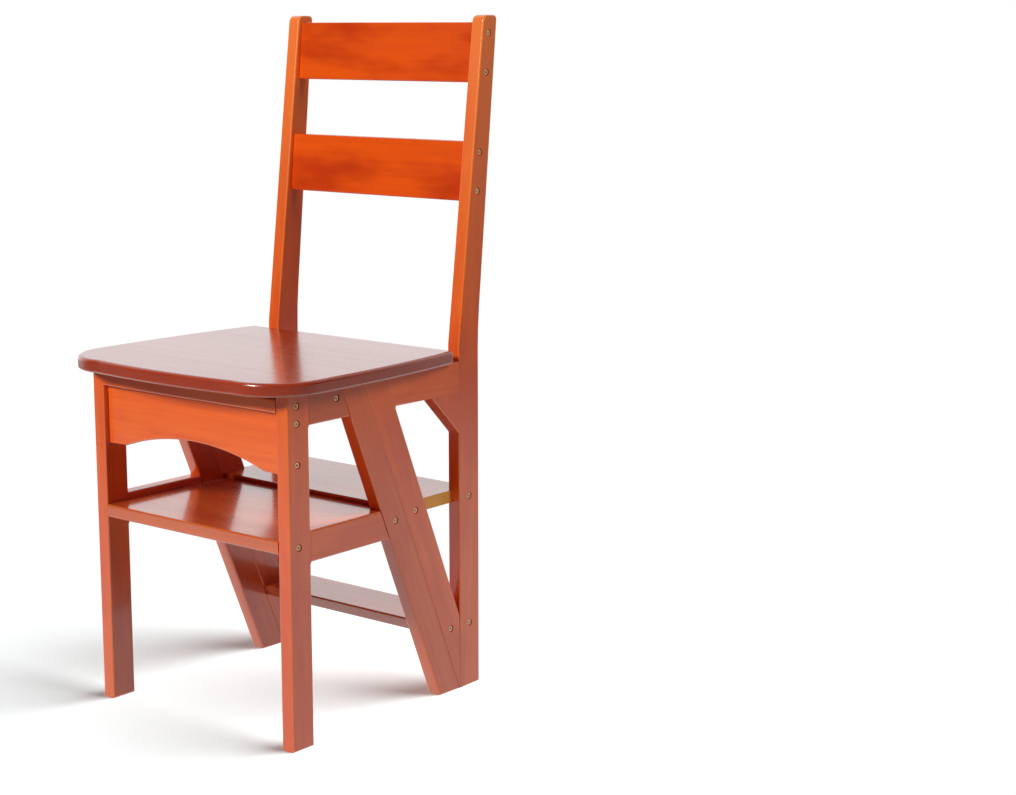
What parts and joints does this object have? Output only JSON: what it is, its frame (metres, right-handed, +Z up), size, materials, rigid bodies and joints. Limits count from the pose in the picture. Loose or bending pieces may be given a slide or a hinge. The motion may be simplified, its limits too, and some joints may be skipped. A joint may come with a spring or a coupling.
{
  "type": "library step chair",
  "caption": "Wooden side chair whose rear half flips over on brass hinges to make a step ladder.",
  "frame": {"origin": "centre of the bounding box on the floor, chair standing in chair mode", "axes": "+Z up, the chair faces -Y, +X to the sitter's left"},
  "size_m": [0.405, 0.4502, 0.902],
  "materials": {
    "frame_wood": "glossy red-orange stain, fine straight grain",
    "board_wood": "glossy red-brown stain",
    "slat_wood": "glossy orange stain, grain along the slat",
    "seat_wood": "high-gloss red-brown stain",
    "hinge_brass": "satin brass",
    "screw_brass": "satin brass"
  },
  "bodies": {
    "front_half": {"apron": "frame_wood", "front_leg_L": "frame_wood", "front_leg_R": "frame_wood", "front_screw_L1": "screw_brass", "front_screw_L2": "screw_brass", "front_screw_L3": "screw_brass", "front_screw_L4": "screw_brass", "front_screw_L5": "screw_brass", "front_screw_L6": "screw_brass", "front_screw_R1": "screw_brass", "front_screw_R2": "screw_brass", "front_screw_R3": "screw_brass", "front_screw_R4": "screw_brass", "front_screw_R5": "screw_brass", "front_screw_R6": "screw_brass", "front_stringer_L": "frame_wood", "front_stringer_R": "frame_wood", "front_top_rail_L": "frame_wood", "front_top_rail_R": "frame_wood", "main_hinge_front_leaf_L": "hinge_brass", "main_hinge_front_leaf_R": "hinge_brass", "main_hinge_pin_L": "hinge_brass", "main_hinge_pin_R": "hinge_brass", "mid_rail_L": "frame_wood", "mid_rail_R": "frame_wood", "mid_shelf": "board_wood", "step_board": "board_wood"},
    "rear_half": {"lower_rear_shelf": "board_wood", "lower_slat": "slat_wood", "main_hinge_rear_leaf_L": "hinge_brass", "main_hinge_rear_leaf_R": "hinge_brass", "rear_post_L": "frame_wood", "rear_post_R": "frame_wood", "rear_screw_L1": "screw_brass", "rear_screw_L2": "screw_brass", "rear_screw_L3": "screw_brass", "rear_screw_L4": "screw_brass", "rear_screw_L5": "screw_brass", "rear_screw_L6": "screw_brass", "rear_screw_L7": "screw_brass", "rear_screw_L8": "screw_brass", "rear_screw_R1": "screw_brass", "rear_screw_R2": "screw_brass", "rear_screw_R3": "screw_brass", "rear_screw_R4": "screw_brass", "rear_screw_R5": "screw_brass", "rear_screw_R6": "screw_brass", "rear_screw_R7": "screw_brass", "rear_screw_R8": "screw_brass", "rear_stringer_L": "frame_wood", "rear_stringer_R": "frame_wood", "rear_top_rail_L": "frame_wood", "rear_top_rail_R": "frame_wood", "seat_hinge_rail_leaf_L": "hinge_brass", "seat_hinge_rail_leaf_R": "hinge_brass", "top_slat": "slat_wood", "upper_rear_shelf": "board_wood"},
    "seat": {"seat_board": "seat_wood", "seat_hinge_seat_leaf_L": "hinge_brass", "seat_hinge_seat_leaf_R": "hinge_brass"}
  },
  "joints": [
    {"name": "flip", "type": "hinge", "parent": "front_half", "child": "rear_half", "pos_m": [0, -0.04346, 0.451], "axis": [1, 0, 0], "range_deg": [0, 180]},
    {"name": "seat_swing", "type": "hinge", "parent": "rear_half", "child": "seat", "pos_m": [0, 0.12469, 0.45035], "axis": [-1, 0, 0], "range_deg": [0, 90]}
  ],
  "couplings": [
    {"joint": "seat_swing", "follows": "flip", "ratio": 0.5}
  ]
}
